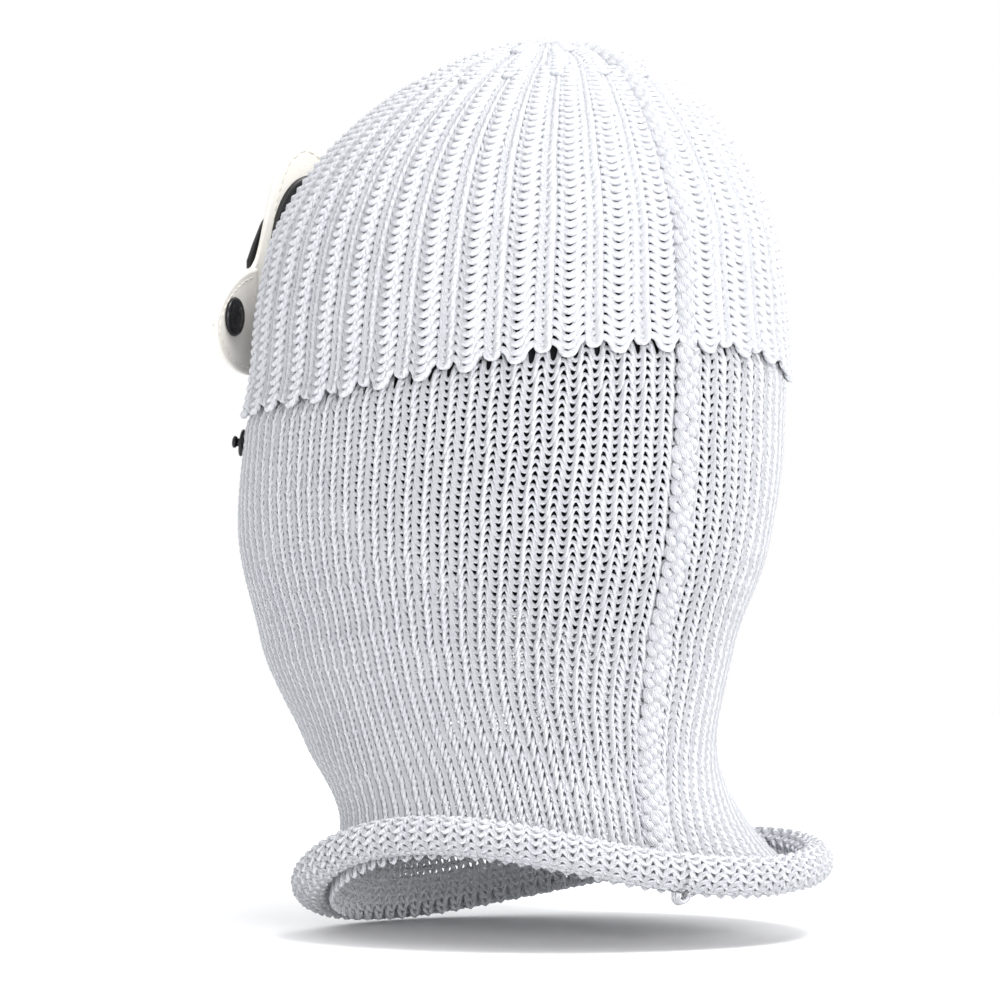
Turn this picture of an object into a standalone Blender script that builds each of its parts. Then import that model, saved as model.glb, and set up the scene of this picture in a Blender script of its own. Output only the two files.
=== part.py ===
"""Knitted balaclava with a leather visor that folds up over the brow and snaps at the temples.

The wearer faces -Y, their left is +X and +Z is up.  Z = 0 is the lowest point of the rolled hem.
The visor is modelled raised, its outer face turned to the forehead.
"""
import math

import bmesh
import bpy
import numpy as np
from mathutils import Matrix, Vector

# Driving dimensions, in metres.
GAP = 0.0003                # left between solids that touch
WIDTH_SCALE = 1.0           # widens or narrows every section of the head
HEIGHT_SCALE = 1.0          # stretches every height

BODY_WALL = 0.0024          # stockinette of the mask
RIB_WALL = 0.0036           # ribbed knit of the crown
LINER_WALL = 0.0010         # thin jersey liner
LINER_CLEARANCE = 0.0010    # liner to knit

ROLL_RADIUS = 0.0060        # rolled hem, half its thickness
ROLL_CLEARANCE = 0.0005     # roll to the mask inside it

SLOT_WIDTH = 0.100          # eye slot
SLOT_HEIGHT = 0.038
SLOT_Z = 0.140 * HEIGHT_SCALE
BINDING_RADIUS = 0.0015     # bound edge of the eye slot

SEAM_ANGLE = 92.0           # degrees round from the wearer's left: just past the middle of the back
SEAM_RADIUS = 0.0013

LEATHER = 0.0018            # visor leather
HINGE_Z = 0.1732 * HEIGHT_SCALE     # visor's fold line along the brow
HINGE_STANDOFF = 0.003828   # fold line, in front of the knit
HINGE_RADIUS = 0.0015       # piped edge along the fold
HINGE_HALF = 0.022 * WIDTH_SCALE
LEAN = 1.5                  # degrees that the raised visor leans back
PANEL_HALF = 0.0425 * WIDTH_SCALE        # middle panel, half its width
WING_LENGTH = 0.016         # fold to fold
TAB_LENGTH = 0.032          # fold to rounded tip
TAB_DROP = 0.0024           # how far the tip lies below the tab's middle
WING_ANGLE = 72.0           # wing, from the panel, towards the head
TAB_ANGLE = 38.0            # tab, from the panel, towards the head
FOLD_GAP = 0.0010           # leather left clear each side of a wing's or tab's fold
VISOR_HEIGHT = 0.0785       # fold line to the top of a lens lobe

LENS_X = 0.0217 * WIDTH_SCALE            # middle of a lens, from the middle of the visor
LENS_W = 0.0465             # and up from the fold line
LENS_HALF_WIDTH = 0.0115
LENS_HALF_HEIGHT = 0.0195
LENS_TILT = 10.0            # degrees that a lens's lower end swings outwards
LENS_THICKNESS = 0.0018
RIM_WIDTH = 0.0016
RIM_THICKNESS = 0.0034
LENS_CLEARANCE = 0.0003

SNAP_W = 0.0205             # snap centres, up from the fold line
SNAP_REACH = 0.020          # snap centre, from the tab's fold
CAP_RADIUS = 0.0062
CAP_THICKNESS = 0.0018
SOCKET_RADIUS = 0.0052
SOCKET_THICKNESS = 0.0016
STUD_HEAD_RADIUS = 0.0019
STUD_HEIGHT = 0.0038
STUD_RING_RADIUS = 0.0042
STUD_RING_THICKNESS = 0.0010
STUD_X = 0.0600 * WIDTH_SCALE       # stud centres, from the middle of the mask

BROW_TAB_HEIGHT = 0.012
BROW_TAB_THICKNESS = 0.0016

AROUND = 56                 # facets round the mask
COLLECTION = "balaclava"

# Sections of the outer surface: height, half breadth, front, back, squareness.
SECTIONS = [
    (0.000, 0.0785, -0.038, 0.0985, 2.00),
    (0.016, 0.0710, -0.036, 0.0890, 2.00),
    (0.036, 0.0620, -0.046, 0.0820, 2.00),
    (0.058, 0.0570, -0.083, 0.0775, 2.10),
    (0.090, 0.0625, -0.1055, 0.0810, 2.30),
    (0.120, 0.0718, -0.1075, 0.0910, 2.30),
    (0.152, 0.0755, -0.0985, 0.0955, 2.25),
    (0.183, 0.0755, -0.0925, 0.0975, 2.20),
    (0.212, 0.0715, -0.0885, 0.0965, 2.20),
    (0.236, 0.0625, -0.0720, 0.0885, 2.10),
    (0.256, 0.0480, -0.0420, 0.0750, 2.00),
    (0.2685, 0.0300, -0.0120, 0.0580, 2.00),
    (0.2755, 0.0110, 0.0110, 0.0350, 2.00),
]

PARTS = bpy.data.collections.new(COLLECTION)
CUTTERS = bpy.data.collections.new(COLLECTION + "_cutters")


# Basic tools -------------------------------------------------------------------------------

def smooth_curve(knots, values, at):
    """Values of a smooth curve through the knots that never overshoots them."""
    knots, values, at = np.asarray(knots), np.asarray(values), np.asarray(at, float)
    step = np.diff(knots)
    slope = np.diff(values) / step
    tangent = np.zeros(len(knots))
    tangent[0], tangent[-1] = slope[0], slope[-1]
    same = slope[:-1] * slope[1:] > 0
    total = np.where(same, slope[:-1] + slope[1:], 1.0)
    tangent[1:-1] = np.where(same, 2 * slope[:-1] * slope[1:] / total, 0.0)
    at = np.clip(at, knots[0], knots[-1])
    k = np.clip(np.searchsorted(knots, at, side="right") - 1, 0, len(step) - 1)
    t = (at - knots[k]) / step[k]
    start, end = values[k], values[k + 1]
    rise_in, rise_out = tangent[k] * step[k], tangent[k + 1] * step[k]
    return (start * (1 + 2 * t) * (1 - t) ** 2 + rise_in * t * (1 - t) ** 2
            + end * t * t * (3 - 2 * t) + rise_out * t * t * (t - 1))


def make_material(name, colour, roughness, metallic=0.0):
    """A Principled material."""
    material = bpy.data.materials.new(name)
    material.use_nodes = True
    shader = material.node_tree.nodes["Principled BSDF"]
    shader.inputs["Base Color"].default_value = (*colour, 1.0)
    shader.inputs["Roughness"].default_value = roughness
    shader.inputs["Metallic"].default_value = metallic
    return material


def add_object(name, data, material, collection=None):
    """Link an object for a mesh or curve."""
    thing = bpy.data.objects.new(name, data)
    (collection or PARTS).objects.link(thing)
    if material:
        data.materials.append(material)
    return thing


def mesh_from(bm, name, smooth=True):
    """Turn a bmesh into a mesh whose faces point out."""
    bmesh.ops.recalc_face_normals(bm, faces=bm.faces)
    mesh = bpy.data.meshes.new(name)
    bm.to_mesh(mesh)
    bm.free()
    if smooth:
        mesh.shade_smooth()
        mesh.set_sharp_from_angle(angle=math.radians(35))
    return mesh


def tube(name, points, radius, material, closed=False):
    """A round tube along a list of points."""
    curve = bpy.data.curves.new(name, "CURVE")
    curve.dimensions = "3D"
    curve.bevel_depth = radius
    curve.bevel_resolution = 2
    curve.use_fill_caps = not closed
    spline = curve.splines.new("POLY")
    spline.points.add(len(points) - 1)
    for knot, point in zip(spline.points, points):
        knot.co = (*point, 1.0)
    spline.use_cyclic_u = closed
    return add_object(name, curve, material)


def plate(name, outlines, thickness, material, placing):
    """A flat plate from closed 2D outlines; outlines inside the first are holes."""
    curve = bpy.data.curves.new(name, "CURVE")
    curve.dimensions = "2D"
    curve.fill_mode = "BOTH"
    curve.extrude = thickness / 2
    for outline in outlines:
        spline = curve.splines.new("POLY")
        spline.points.add(len(outline) - 1)
        for knot, (x, y) in zip(spline.points, outline):
            knot.co = (x, y, 0.0, 1.0)
        spline.use_cyclic_u = True
    thing = add_object(name, curve, material)
    thing.matrix_world = placing
    return thing


def turned(name, profile, material, placing, steps=16):
    """A turned piece: a profile at +X from its top to its bottom, swept round Z."""
    bm = bmesh.new()
    corners = [bm.verts.new((r, 0.0, z)) for r, z in profile]
    for first, second in zip(corners, corners[1:]):
        bm.edges.new((first, second))
    mesh = bpy.data.meshes.new(name)
    bm.to_mesh(mesh)
    bm.free()
    thing = add_object(name, mesh, material)
    screw = thing.modifiers.new("Turn", "SCREW")
    screw.steps = steps
    screw.render_steps = steps
    screw.use_merge_vertices = True
    screw.merge_threshold = 0.00001
    thing.matrix_world = placing
    return thing


# The head form -----------------------------------------------------------------------------

def section_table():
    """Scaled sections, with their distance up the surface as the parameter."""
    table = np.array(SECTIONS)
    table[:, 0] *= HEIGHT_SCALE
    table[:, 1:4] *= WIDTH_SCALE
    radius = (table[:, 1] + (table[:, 3] - table[:, 2]) / 2) / 2
    climb = np.hypot(np.diff(table[:, 0]), np.diff(radius))
    return table, np.concatenate([[0.0], np.cumsum(climb)])


TABLE, CLIMB = section_table()
TOP = CLIMB[-1]


def climb_at(height):
    """Distance up the surface at a height."""
    steps = np.linspace(0.0, TOP, 400)
    return np.interp(height, smooth_curve(CLIMB, TABLE[:, 0], steps), steps)


def surface(angle, climb, out=0.0):
    """Point of the outer surface at an angle round from the wearer's left, moved out by `out`."""
    height, breadth, front, back, square = (smooth_curve(CLIMB, TABLE[:, k], climb) for k in range(5))
    c, s = np.cos(angle), np.sin(angle)
    power = 2.0 / square
    x = breadth * np.sign(c) * np.abs(c) ** power
    y = (front + back) / 2 + (back - front) / 2 * np.sign(s) * np.abs(s) ** power
    point = np.stack(np.broadcast_arrays(x, y, height), axis=-1)
    return point + out * normal(angle, climb) if np.any(out) else point


def normal(angle, climb):
    """Outward direction of the surface."""
    small = 0.0005
    across = surface(angle + small * 10, climb) - surface(angle - small * 10, climb)
    up = surface(angle, np.minimum(climb + small, TOP)) - surface(angle, np.maximum(climb - small, 0.0))
    way = np.cross(across, up)
    return way / np.linalg.norm(way, axis=-1, keepdims=True)


def brim_height(angle):
    """Lower edge of the ribbed crown: highest at the middle of the back."""
    return (0.180 - 0.0085 * (1 - np.sin(angle)) - 0.0035 * (1 + np.cos(2 * angle))) * HEIGHT_SCALE


def hem_height(angle):
    """Bottom of the rolled hem: it rides up on the shoulders and hangs lower in front."""
    return (0.0132 + 0.0029 * np.cos(angle) + 0.0072 * np.sin(angle)
            + 0.0044 * np.cos(2 * angle) + 0.0056 * np.sin(2 * angle)) * HEIGHT_SCALE


def front_y(x, height):
    """Front surface at a breadth and height."""
    climb = climb_at(height)
    breadth, front, back, square = (smooth_curve(CLIMB, TABLE[:, k], climb) for k in range(1, 5))
    depth = (1 - np.abs(x / breadth) ** square) ** (1 / square)
    return (front + back) / 2 - (back - front) / 2 * depth


def hinge_y():
    """Depth of the visor's fold line: just clear of the middle of the brow."""
    return float(front_y(0.0, HINGE_Z)) - HINGE_STANDOFF


def front_angle(x, height):
    """Angle round the head of a point on the front surface."""
    climb = climb_at(height)
    breadth, square = (smooth_curve(CLIMB, TABLE[:, k], climb) for k in (1, 4))
    share = np.sign(x) * np.abs(x / breadth) ** (square / 2)
    return -np.arccos(share)


def shell(name, low, high, rows, wall, out, material):
    """A knitted shell between two edges, given as climbs at each angle, with its wall inwards."""
    angles = np.arange(AROUND) * 2 * math.pi / AROUND
    bm = bmesh.new()
    rings = []
    for row in range(rows + 1):
        climb = low(angles) + (high(angles) - low(angles)) * row / rows
        rings.append([bm.verts.new(p) for p in surface(angles, climb, out)])
    for lower, upper in zip(rings, rings[1:]):
        for k in range(AROUND):
            after = (k + 1) % AROUND
            bm.faces.new((lower[k], lower[after], upper[after], upper[k]))
    mesh = bpy.data.meshes.new(name)
    bm.to_mesh(mesh)
    bm.free()
    mesh.shade_smooth()
    thing = add_object(name, mesh, material)
    thicken = thing.modifiers.new("Wall", "SOLIDIFY")
    thicken.thickness = wall
    thicken.offset = -1.0
    thicken.use_even_offset = True
    return thing


# Knitted pieces ----------------------------------------------------------------------------

def roll_middle(angle):
    """Middle line of the rolled hem."""
    climb = climb_at(hem_height(angle) + ROLL_RADIUS)
    return surface(angle, climb, ROLL_RADIUS + ROLL_CLEARANCE)


def body_bottom(angle):
    """Lower edge of the mask, inside the rolled hem."""
    return climb_at(hem_height(angle) + ROLL_RADIUS / 4)


def gather_climb(angle):
    """Upper edge of the crown, round the drawn-up top."""
    return np.full_like(angle, TOP)


def build_knit(yarn, liner):
    """The mask, the ribbed crown, the liner and the edges."""
    body = shell("mask_body", body_bottom, lambda a: climb_at(brim_height(a)) - GAP, 13,
                 BODY_WALL, 0.0, yarn)
    cutter = plate("slot_cutter", [slot_outline(0.0)], 0.08, None,
                   Matrix.Translation((0, hinge_y(), SLOT_Z)) @ Matrix.Rotation(math.pi / 2, 4, "X"))
    cut_with(body, cutter)
    shell("rib_crown", lambda a: climb_at(brim_height(a)), gather_climb, 12, RIB_WALL, 0.0, yarn)
    inside = -(RIB_WALL + LINER_CLEARANCE)
    shell("skull_liner", liner_bottom, lambda a: gather_climb(a) - 0.004, 9, LINER_WALL, inside, liner)
    angles = np.arange(64) * 2 * math.pi / 64
    tube("neck_hem_roll", roll_middle(angles), ROLL_RADIUS, yarn, closed=True)
    build_gather(yarn)
    build_seams(yarn)
    build_binding(yarn)


def liner_bottom(angle):
    """Lower edge of the liner: down over the nape, up to the brow in front."""
    return climb_at((0.140 - 0.048 * np.sin(angle)) * HEIGHT_SCALE)


def slot_outline(shrink):
    """Eye slot as a stadium, shrunk by a distance all round."""
    end = SLOT_HEIGHT / 2 - shrink
    half = (SLOT_WIDTH - SLOT_HEIGHT) / 2
    turn = np.linspace(-math.pi / 2, math.pi / 2, 11)
    right = [(half + end * math.cos(t), end * math.sin(t)) for t in turn]
    left = [(-x, -z) for x, z in right]
    steps = np.linspace(-half, half, 9)[1:-1]
    top = [(-x, end) for x in steps]
    bottom = [(x, -end) for x in steps]
    return right + top + left + bottom


def cut_with(piece, cutter):
    """Subtract a cutter curve, made a mesh, from a piece."""
    bpy.context.view_layer.update()
    source = cutter.evaluated_get(bpy.context.evaluated_depsgraph_get())
    bm = bmesh.new()
    bm.from_mesh(bpy.data.meshes.new_from_object(source))
    bmesh.ops.remove_doubles(bm, verts=bm.verts, dist=0.00001)
    tool = add_object(cutter.name + "_mesh", mesh_from(bm, cutter.name, smooth=False), None, CUTTERS)
    tool.matrix_world = cutter.matrix_world
    bpy.data.objects.remove(cutter)
    tool.hide_render = True
    tool.display_type = "WIRE"
    cut = piece.modifiers.new("Slot", "BOOLEAN")
    cut.operation = "DIFFERENCE"
    cut.solver = "EXACT"
    cut.object = tool


def build_gather(yarn):
    """The drawn-up top: a low dome that closes the crown."""
    ring = surface(np.arange(4) * math.pi / 2, np.full(4, TOP))
    middle = ring.mean(axis=0)
    breadth = abs(ring[0][0]) - RIB_WALL * 0.45 - GAP
    dome = [(0.0, 0.0022), (0.35, 0.0019), (0.7, 0.0010), (1.0, -0.0006), (0.85, -0.0030), (0.0, -0.0034)]
    profile = [(share * breadth, z) for share, z in dome]
    turned("crown_gather", profile, yarn, Matrix.Translation(middle), 20)


def build_seams(yarn):
    """Raised back seams of the mask and crown, and the tack that ends the hem."""
    angle = math.radians(SEAM_ANGLE)
    lift = SEAM_RADIUS + GAP * 2
    brim = float(climb_at(brim_height(angle)))
    body = np.linspace(float(body_bottom(angle)) + 2.4 * ROLL_RADIUS, brim - 0.003, 26)
    tube("mask_back_seam", surface(np.full(26, angle), body, lift), SEAM_RADIUS, yarn)
    crown = np.linspace(brim + 0.003, TOP - 0.012, 18)
    tube("crown_back_seam", surface(np.full(18, angle), crown, lift), SEAM_RADIUS, yarn)
    low = roll_middle(np.array([angle]))[0] - [0, 0, ROLL_RADIUS]
    radius = 0.0034
    profile = [(0.0, -GAP), (radius, -GAP), (radius * 0.94, -0.0015), (radius * 0.6, -0.0029), (0.0, -0.0035)]
    turned("hem_seam_tack", profile, yarn, Matrix.Translation(low - Vector((0, 0, GAP))), 16)


def build_binding(yarn):
    """Bound edge round the eye slot, lying in the cut."""
    outline = np.array(slot_outline(BINDING_RADIUS + 0.0007))
    x, z = outline[:, 0], outline[:, 1] + SLOT_Z
    points = np.stack([x, front_y(x, z) + BODY_WALL / 2, z], axis=1)
    tube("eye_slot_binding", points, BINDING_RADIUS, yarn, closed=True)


# Snap studs on the mask --------------------------------------------------------------------

def snap_height():
    """Height of the studs: the snaps' place mirrored below the fold line."""
    return HINGE_Z - SNAP_W


def build_studs(metal):
    """A stud, its prong ring and its backing ring at each temple."""
    climb = float(climb_at(snap_height()))
    for side, name in ((1, "left"), (-1, "right")):
        angle = float(front_angle(side * STUD_X, snap_height()))
        foot, way = surface(angle, climb), Vector(normal(angle, climb))
        place = Matrix.Translation(foot) @ way.to_track_quat("Z", "Y").to_matrix().to_4x4()
        ring_top = 0.0008 + STUD_RING_THICKNESS
        ring = [(0.0016, ring_top), (STUD_RING_RADIUS - 0.0006, ring_top),
                (STUD_RING_RADIUS, ring_top - 0.0005), (STUD_RING_RADIUS, 0.0008),
                (0.0016, 0.0008), (0.0016, ring_top)]
        turned("stud_ring_" + name, ring, metal, place)
        neck = STUD_HEAD_RADIUS * 0.62
        stud = [(0.0, STUD_HEIGHT), (STUD_HEAD_RADIUS * 0.8, STUD_HEIGHT),
                (STUD_HEAD_RADIUS, STUD_HEIGHT - 0.0006), (STUD_HEAD_RADIUS, STUD_HEIGHT - 0.0012),
                (neck, STUD_HEIGHT - 0.0018), (neck, 0.0006), (0.0, 0.0006)]
        turned("stud_" + name, stud, metal, place)
        back = -(BODY_WALL + 0.0008)
        disc = [(0.0, back), (STUD_RING_RADIUS, back), (STUD_RING_RADIUS, back - 0.0008),
                (0.0, back - 0.0008)]
        turned("stud_back_" + name, disc, metal, place)


# Visor -------------------------------------------------------------------------------------

def visor_frame():
    """Placing of the visor: X across, Y up the leather, Z towards the wearer's front."""
    return (Matrix.Translation((0, hinge_y(), HINGE_Z)) @ Matrix.Rotation(math.radians(-LEAN), 4, "X")
            @ Matrix.Rotation(math.pi / 2, 4, "X"))


def folded(side, at, turn, parent):
    """Placing of a flap folded at a line `at` across its parent, turned towards the head."""
    return parent @ Matrix.Translation((side * at, 0, 0)) @ Matrix.Rotation(math.radians(side * turn), 4, "Y")


def top_edge(u):
    """Upper edge of the raised visor, from the nose notch over the lobe and out along the wing."""
    share = np.array([(0.0, 0.60), (0.15, 0.74), (0.35, 0.955), (0.54, 1.0), (0.70, 0.95), (0.80, 0.84),
                      (0.87, 0.69), (0.92, 0.57), (0.965, 0.505), (1.03, 0.475), (1.4, 0.465), (2.3, 0.46)])
    return smooth_curve(share[:, 0] * PANEL_HALF, share[:, 1] * VISOR_HEIGHT, u)


def bottom_edge():
    """Edge of the leather beside the piped fold."""
    return HINGE_RADIUS + 0.0005


def panel_outline():
    """Outline of the middle panel, in visor coordinates."""
    u = np.linspace(0.0, PANEL_HALF - FOLD_GAP, 20)
    right = list(zip(u, top_edge(u)))
    left = [(-x, y) for x, y in reversed(right[1:])]
    low = bottom_edge()
    return left + right + [(u[-1], low), (-u[-1], low)]


def tab_edges(share):
    """Lower and upper edge of a tab at a share of its length, from its fold to its blunt tip."""
    low, high = bottom_edge(), float(top_edge(PANEL_HALF + WING_LENGTH))
    half = (high - low) / 2 * np.maximum(1 - np.asarray(share) ** 2.0, 0.0) ** 0.6
    middle = (high + low) / 2 - TAB_DROP * np.asarray(share)
    return middle - half, middle + half


def oval(half_width, half_height, steps=28):
    """A softly squared oval."""
    turn = np.arange(steps) * 2 * math.pi / steps
    c, s = np.cos(turn), np.sin(turn)
    return [(half_width * np.sign(a) * abs(a) ** 0.88, half_height * np.sign(b) * abs(b) ** 0.88)
            for a, b in zip(c, s)]


def tilted(outline, side):
    """An outline turned so that its lower end swings outwards."""
    turn = math.radians(side * LENS_TILT)
    c, s = math.cos(turn), math.sin(turn)
    return [(a * c - b * s, a * s + b * c) for a, b in outline]


def shifted(outline, x, y):
    """An outline moved in its plane."""
    return [(a + x, b + y) for a, b in outline]


def build_visor(leather, smoke, plastic, metal):
    """Panel, lenses and rims, the piped fold, and a wing and tab with its snap on each side."""
    frame = visor_frame()
    hole = oval(LENS_HALF_WIDTH + RIM_WIDTH + GAP, LENS_HALF_HEIGHT + RIM_WIDTH + GAP)
    holes = [shifted(tilted(hole, side), side * LENS_X, LENS_W) for side in (1, -1)]
    plate("visor_panel", [panel_outline()] + holes, LEATHER, leather, frame)
    ends = [frame @ Vector((side * HINGE_HALF, 0, 0)) for side in (-1, 1)]
    tube("hinge_piping", ends, HINGE_RADIUS, leather)
    strip_low, strip_high = bottom_edge(), float(top_edge(0.0)) - 0.002
    strip = [(-0.0028, strip_low), (0.0028, strip_low), (0.0028, strip_high), (-0.0028, strip_high)]
    lift = LEATHER / 2 + GAP + 0.0006
    plate("nose_bridge_strip", [strip], 0.0012, leather, frame @ Matrix.Translation((0, 0, -lift)))
    for side, name in ((1, "left"), (-1, "right")):
        middle = frame @ Matrix.Translation((side * LENS_X, LENS_W, 0))
        rim_in = oval(LENS_HALF_WIDTH, LENS_HALF_HEIGHT)
        rim_out = oval(LENS_HALF_WIDTH + RIM_WIDTH, LENS_HALF_HEIGHT + RIM_WIDTH)
        plate("lens_rim_" + name, [tilted(rim_out, side), tilted(rim_in, side)], RIM_THICKNESS,
              plastic, middle)
        pane = oval(LENS_HALF_WIDTH - LENS_CLEARANCE, LENS_HALF_HEIGHT - LENS_CLEARANCE)
        plate("lens_" + name, [tilted(pane, side)], LENS_THICKNESS, smoke, middle)
        build_wing(side, name, frame, leather, metal)


def build_wing(side, name, frame, leather, metal):
    """A wing, the rounded tab at its end, and the snap's cap and socket."""
    low = bottom_edge()
    wing = folded(side, PANEL_HALF, WING_ANGLE, frame)
    u = np.linspace(FOLD_GAP, WING_LENGTH - FOLD_GAP, 6)
    edge = [(side * x, y) for x, y in zip(u, top_edge(PANEL_HALF + u))]
    outline = edge + [(side * u[-1], low), (side * u[0], low)]
    plate("wing_" + name, [outline], LEATHER, leather, wing)
    tab = folded(side, WING_LENGTH, TAB_ANGLE - WING_ANGLE, wing)
    share = np.sin(np.linspace(math.asin(FOLD_GAP / TAB_LENGTH), math.pi / 2, 14))
    under, over = tab_edges(share)
    outline = [(side * TAB_LENGTH * x, y) for x, y in zip(share, over)]
    outline += [(side * TAB_LENGTH * x, y) for x, y in zip(share[-2::-1], under[-2::-1])]
    plate("tab_" + name, [outline], LEATHER, leather, tab)
    snap = tab @ Matrix.Translation((side * SNAP_REACH, SNAP_W, 0))
    face = LEATHER / 2 + GAP
    top = face + CAP_THICKNESS
    cap = [(0.0, top), (CAP_RADIUS - 0.0010, top), (CAP_RADIUS, top - 0.0008),
           (CAP_RADIUS, face), (0.0, face)]
    turned("snap_cap_" + name, cap, metal, snap @ Matrix.Rotation(math.pi, 4, "X"))
    bore, rim = STUD_HEAD_RADIUS + 0.0004, face + SOCKET_THICKNESS
    socket = [(bore, rim), (SOCKET_RADIUS - 0.0004, rim), (SOCKET_RADIUS, rim - 0.0004),
              (SOCKET_RADIUS, face), (bore, face), (bore, rim)]
    turned("snap_socket_" + name, socket, metal, snap)


def build_brow_tab(leather):
    """Leather tab sewn to the brow, which carries the visor's fold."""
    top = HINGE_Z - HINGE_RADIUS - 0.001
    columns, rows = 12, 3
    bm = bmesh.new()
    grid = []
    for row in range(rows + 1):
        z = top - BROW_TAB_HEIGHT * (1 - row / rows)
        line = []
        for k in range(columns + 1):
            x = HINGE_HALF * (2 * k / columns - 1)
            y = float(front_y(x, z)) - 0.0009
            line.append(bm.verts.new((x, y, z)))
        grid.append(line)
    for lower, upper in zip(grid, grid[1:]):
        for k in range(columns):
            bm.faces.new((lower[k], lower[k + 1], upper[k + 1], upper[k]))
    mesh = bpy.data.meshes.new("brow_tab")
    bm.to_mesh(mesh)
    bm.free()
    thing = add_object("brow_tab", mesh, leather)
    thicken = thing.modifiers.new("Thickness", "SOLIDIFY")
    thicken.thickness = BROW_TAB_THICKNESS
    thicken.offset = 1.0


def main():
    """Clear the scene and build the balaclava."""
    for thing in list(bpy.data.objects):
        bpy.data.objects.remove(thing)
    for collection in (PARTS, CUTTERS):
        bpy.context.scene.collection.children.link(collection)
    yarn = make_material("white_yarn", (0.86, 0.88, 0.92), 0.9)
    liner = make_material("charcoal_jersey", (0.02, 0.02, 0.025), 0.95)
    leather = make_material("ivory_leather", (0.88, 0.85, 0.78), 0.5)
    smoke = make_material("smoked_lens", (0.01, 0.01, 0.012), 0.08)
    plastic = make_material("black_plastic", (0.02, 0.02, 0.02), 0.35)
    metal = make_material("black_metal", (0.03, 0.03, 0.032), 0.28, 0.9)
    build_knit(yarn, liner)
    build_studs(metal)
    build_brow_tab(leather)
    build_visor(leather, smoke, plastic, metal)


main()
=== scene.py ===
"""Looks of the knitted balaclava: real yarn loops, a near-black liner under the knit that is painted shade
seen through the stitches, and a leather visor.
"""
import math

import bpy
import bmesh
import numpy as np
from mathutils import Matrix, Vector


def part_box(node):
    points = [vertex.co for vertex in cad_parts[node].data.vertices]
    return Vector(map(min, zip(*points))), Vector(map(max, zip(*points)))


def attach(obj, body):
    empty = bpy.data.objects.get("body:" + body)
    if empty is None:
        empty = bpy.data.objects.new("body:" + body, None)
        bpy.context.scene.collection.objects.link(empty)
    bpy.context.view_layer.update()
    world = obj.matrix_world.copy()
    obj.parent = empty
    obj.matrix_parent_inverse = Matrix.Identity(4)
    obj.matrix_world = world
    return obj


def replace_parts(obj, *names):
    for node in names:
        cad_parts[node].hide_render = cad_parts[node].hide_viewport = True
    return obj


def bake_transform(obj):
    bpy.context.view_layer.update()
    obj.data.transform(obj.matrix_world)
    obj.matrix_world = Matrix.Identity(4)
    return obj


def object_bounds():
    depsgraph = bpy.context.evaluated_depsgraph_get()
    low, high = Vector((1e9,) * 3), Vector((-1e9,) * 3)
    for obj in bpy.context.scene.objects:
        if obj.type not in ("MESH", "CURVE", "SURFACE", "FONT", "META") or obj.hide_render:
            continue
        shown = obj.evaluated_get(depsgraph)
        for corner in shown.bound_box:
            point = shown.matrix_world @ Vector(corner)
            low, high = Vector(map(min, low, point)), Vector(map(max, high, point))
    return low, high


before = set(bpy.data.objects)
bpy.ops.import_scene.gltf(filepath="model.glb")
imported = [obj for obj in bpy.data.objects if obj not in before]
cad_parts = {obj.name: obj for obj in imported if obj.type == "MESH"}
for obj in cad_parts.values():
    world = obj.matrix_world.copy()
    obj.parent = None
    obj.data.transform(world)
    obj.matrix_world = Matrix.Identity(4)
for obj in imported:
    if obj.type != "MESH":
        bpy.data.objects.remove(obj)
CAD_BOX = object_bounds()

TAU = 2 * math.pi
RANDOM = np.random.default_rng(11)

# The head form, as in the CAD: height, half breadth, front, back, squareness.
SECTIONS = [
    (0.000, 0.0785, -0.038, 0.0985, 2.00),
    (0.016, 0.0710, -0.036, 0.0890, 2.00),
    (0.036, 0.0620, -0.046, 0.0820, 2.00),
    (0.058, 0.0570, -0.083, 0.0775, 2.10),
    (0.090, 0.0625, -0.1055, 0.0810, 2.30),
    (0.120, 0.0718, -0.1075, 0.0910, 2.30),
    (0.152, 0.0755, -0.0985, 0.0955, 2.25),
    (0.183, 0.0755, -0.0925, 0.0975, 2.20),
    (0.212, 0.0715, -0.0885, 0.0965, 2.20),
    (0.236, 0.0625, -0.0720, 0.0885, 2.10),
    (0.256, 0.0480, -0.0420, 0.0750, 2.00),
    (0.2685, 0.0300, -0.0120, 0.0580, 2.00),
    (0.2755, 0.0110, 0.0110, 0.0350, 2.00),
]
SEAM_ANGLE = math.radians(92.0)
ROLL_RADIUS = 0.0060
SLOT_WIDTH, SLOT_HEIGHT, SLOT_Z = 0.100, 0.038, 0.140

# Yarn and stitches.
YARN = 0.00074              # radius of the yarn
PLIES, PLY_TWIST, PLY_HEIGHT = 3, 150.0, 0.45        # plies, their turns a metre, their share of the bump
SIDES = 6                   # facets round the yarn
BODY_WALES, BODY_ROWS = 84, 64
RIBS, RIB_ROW = 36, 0.0026
ROLL_ROWS = 12
SEAM_YARN = 0.00135         # radius of the yarns crowded in the back seam
RIB_YARN = 0.00112          # radius of the crown's thicker yarn
BRIM_SINK = 0.0020          # mask, drawn in under the brim
BRIM_FLARE = 0.0016         # brim, standing out over the mask
SCALLOP = 0.0019            # how far the purl wales hang at the brim
STEPS = 12                  # points along one stitch
PIECE_ROWS = 14             # courses in one object
SLOT_LAP = 0.0012           # knit that runs on under the slot's bound edge
BODY_LOW, BODY_HIGH = 0.015, 0.172      # heights between which the mask's courses are spaced
BODY_SINK, BODY_DEPTH = 0.0012, 0.00042     # mask yarn under the head form, and its rise and fall in a loop
BODY_LOOP, BODY_SWING, BODY_WANDER = 1.12, 0.055, 0.035     # reach up, sideways swing, unevenness
SINK_REACH = 0.007          # height over which the mask is drawn in under the brim
CROWN_LOW = 0.172           # height where the crown's courses begin
CROWN_SINK, PURL_RISE = 0.0026, 0.0017      # knit wales under the head form, and the purl wales' rise
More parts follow.
